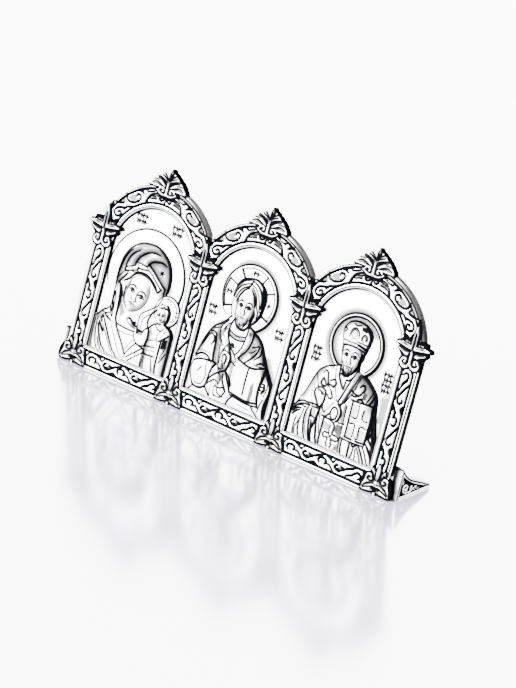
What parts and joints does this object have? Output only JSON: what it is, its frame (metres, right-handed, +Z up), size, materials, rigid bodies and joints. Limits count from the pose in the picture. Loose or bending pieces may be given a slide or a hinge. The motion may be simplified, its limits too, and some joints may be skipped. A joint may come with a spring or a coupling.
{
  "type": "triple table icon",
  "caption": "Small cast silver plate of arched bays with half-length sacred figures in low relief, framed by scrolling vine bands, leaning back on two side brackets.",
  "frame": {"origin": "middle of the footprint, on the surface that the icon stands on", "axes": "+X across the icon to the viewer's right, -Y the way its front looks, +Z up"},
  "size_m": [0.09, 0.0132, 0.0459],
  "materials": {
    "silver": "polished on the high places, black oxide in the sunk places"
  },
  "bodies": {
    "root": {"icon_plate": "silver", "foot_left": "silver", "foot_right": "silver"}
  },
  "joints": []
}
